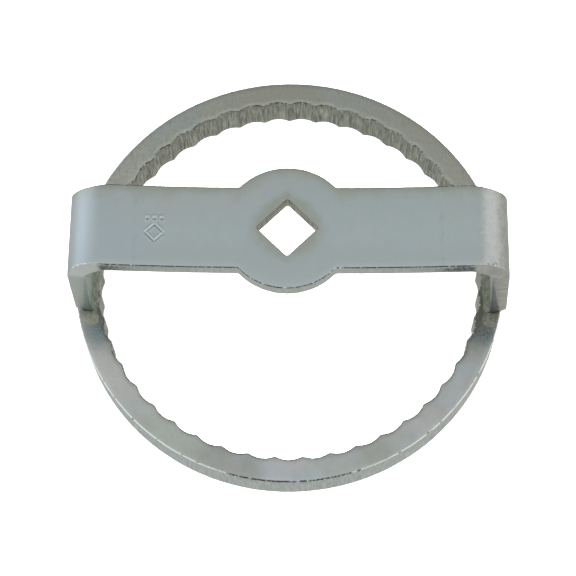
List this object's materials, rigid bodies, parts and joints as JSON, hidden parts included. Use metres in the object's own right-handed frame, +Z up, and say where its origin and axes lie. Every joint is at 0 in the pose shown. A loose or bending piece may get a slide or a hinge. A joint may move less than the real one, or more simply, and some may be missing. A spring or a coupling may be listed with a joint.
{
  "type": "oil filter wrench",
  "caption": "Ring-type oil filter wrench: a fluted steel ring under a welded bent bar with a square drive hole.",
  "frame": {"origin": "centre of the ring's lower face, on the drive axis", "axes": "+Z up along the drive axis, from the ring to the bridge; +X along the bridge, towards the leg that splays more"},
  "size_m": [0.1335, 0.1328, 0.0515],
  "materials": {
    "ring_zinc": "satin zinc plate, slightly olive, with cutting striations on the walls",
    "bridge_zinc": "satin zinc plate, bluish grey, on stamped flat bar",
    "weld_zinc": "rough weld bead, plated over, brownish olive"
  },
  "bodies": {
    "root": {"fluted_ring": "ring_zinc", "bridge": "bridge_zinc", "left_inner_weld": "weld_zinc", "right_inner_weld": "weld_zinc", "left_outer_weld": "weld_zinc", "right_outer_weld": "weld_zinc"}
  },
  "joints": []
}
